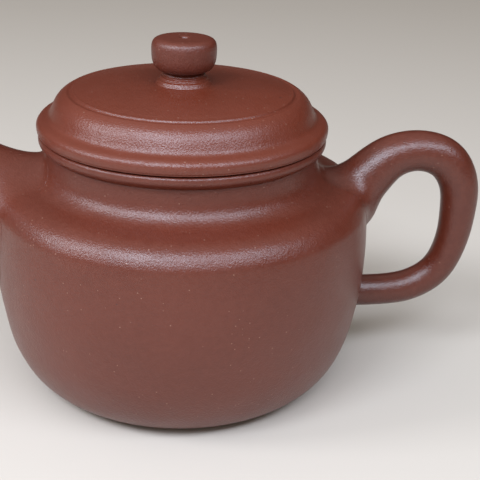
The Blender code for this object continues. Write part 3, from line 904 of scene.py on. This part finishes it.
# ---------------------------------------------------------------- the lid
def lid_outline():
    """Outer curves of the lid's top and of its rim, faired as one and parted at their seam."""
    vent = min(r for r, z in section("lid_dome"))
    rim_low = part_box("lid_rim_plate")[0].z / MM
    top = side_of("lid_dome", (vent, LID_TOP), LID_STEP)
    side = side_of("lid_dome", LID_STEP, RIM_SEAM)
    rim = side_of("lid_rim_plate", RIM_SEAM, RIM_EDGE)
    radius, edge_z = LID_STEP[0], top[-1][1]
    step = [(radius + out, edge_z + up) for out, up in STEP_SHAPE]
    seam_z = (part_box("lid_rim_plate")[1].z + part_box("lid_dome")[0].z) / MM / 2
    seam = (RIM_SEAM[0], seam_z)
    points = top[:-1] + step + [p for p in side[1:-1] if p[0] > radius + STEP_CLEAR]
    whole = faired(points + [seam] + rim[1:-1] + [(rim[-1][0], rim_low + RIM_LIFT)], FINE_BLUR)
    split = int(np.linalg.norm(whole - seam, axis=1).argmin())
    return whole[:split + 1], whole[split:]


def build_lid():
    """Domed top, rim plate and the locating ring under it."""
    vent = min(r for r, z in section("lid_dome"))
    inner_edge = min(r for r, z in section("lid_rim_plate"))
    rim_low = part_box("lid_rim_plate")[0].z / MM
    dome_line, rim_line = lid_outline()

    hidden = (inner_edge, dome_line[-1][1])
    under = [tuple(p) for p in inset(dome_line[::LID_UNDER_STEP], LID_THICK)
             if p[0] < hidden[0] - LID_UNDER_CLEAR[0] and p[1] > hidden[1] + LID_UNDER_CLEAR[1]]
    under = thinned(faired(under + [hidden], LID_UNDER_BLUR))
    under[0] = (vent, under[0][1])
    dome = thinned(dome_line)
    dome[0] = (vent, dome[0][1])
    obj = turned("lid_dome_clay", [(dome, 0), ([dome[-1], hidden], 1), (under[::-1], 1),
                                   ([under[0], dome[0]], 1)], LID)
    keep(obj, ["lid_dome"], "lid")

    edge = tuple(rim_line[-1])
    inside = (inner_edge, rim_low)
    rest = rounded([(*edge, 0), (edge[0], rim_low, RIM_FILLET), (*inside, 0)])
    obj = turned("lid_rim_clay", [(thinned(rim_line), 0), (rest, 0), ([inside, hidden], 1),
                                  ([hidden, tuple(rim_line[0])], 1)], LID)
    keep(obj, ["lid_rim_plate"], "lid")

    low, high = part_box("lid_flange")
    outer = high.x / MM
    flange = rounded([(outer, rim_low, 0), (outer, low.z / MM, FLANGE_FILLET),
                      (inner_edge, low.z / MM, FLANGE_FILLET), (inner_edge, rim_low, 0)])
    obj = turned("lid_flange_clay", [(flange, 1), ([flange[-1], flange[0]], 1)], LID)
    keep(obj, ["lid_flange"], "lid")


def build_knob():
    """Drum knob on its stepped collar, both pierced by the steam hole."""
    vent = min(r for r, z in section("knob_collar"))
    collar_low, collar_high = (c.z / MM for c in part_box("knob_collar"))
    knob_low, knob_high = (c.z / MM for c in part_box("knob"))
    dome_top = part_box("lid_dome")[1].z / MM
    line = side_of("knob_collar", (COLLAR_RADII[0], collar_high), (COLLAR_RADII[1], collar_low))
    line = [(COLLAR_TOP, knob_low)] + line[1:-1] + [(COLLAR_FOOT, dome_top - COLLAR_SINK)]
    collar = thinned(faired(line, COLLAR_BLUR))
    bore = [(vent, collar[-1][1]), (vent, collar[0][1])]
    obj = turned("knob_collar_clay", [(collar, 0), ([collar[-1], bore[0]], 1), (bore, 1),
                                      ([bore[1], collar[0]], 1)], LID, SMALL_SIDES, COLLAR_UNEVEN)
    keep(obj, ["knob_collar"], "lid")

    line = side_of("knob", (KNOB_RADII[0], knob_high), (KNOB_RADII[1], knob_low))
    top = [(vent + out, knob_high - down) for out, down in VENT_EDGE]
    top += [(radius, knob_high - down) for radius, down in KNOB_CROWN]
    drum = thinned(faired(top + line[1:], KNOB_BLUR))
    bore = [(vent, drum[-1][1]), drum[0]]
    obj = turned("knob_shaded_clay", [(drum, 0), ([drum[-1], bore[0]], 1), (bore, 1)],
                 [knob_shaded_clay, raw_clay], SMALL_SIDES, KNOB_UNEVEN)
    keep(obj, ["knob"], "lid")


# ---------------------------------------------------------------- putting it together
build_camera()
build_studio()

pot_clay = clay("clay_body", POT_SHADES)
lid_clay = clay("clay_lid", LID_SHADES, seed=0.31)
raw_clay = clay("clay_inside", RAW_SHADES, 1.3, seed=0.17)
# painted shade: the handle and knob get darker copies of the clay, standing in for the shade on their
# front faces
handle_shaded_clay = clay("clay_handle_painted_shade", HANDLE_SHADED, seed=0.47)
knob_shaded_clay = clay("clay_knob_painted_shade", KNOB_SHADED, seed=0.53)
POT = [pot_clay, raw_clay]      # a turned piece's faces name these by number: 0 rubbed, 1 raw
LID = [lid_clay, raw_clay]

pot_outline, (at_neck, at_shoulder, at_wall) = body_outline()
ring_seam = pot_outline[0]
neck_seam, wall_seam, base_seam = pot_outline[at_neck], pot_outline[at_shoulder], pot_outline[at_wall]
mouth_radius = min(r for r, z in section("neck_collar"))

build_base()
build_wall()
build_shoulder()
build_neck()
build_mouth_ring()
landing = Body(pot_outline)
build_handle(landing)
build_spout(landing)
build_strainer()
build_lid()
build_knob()
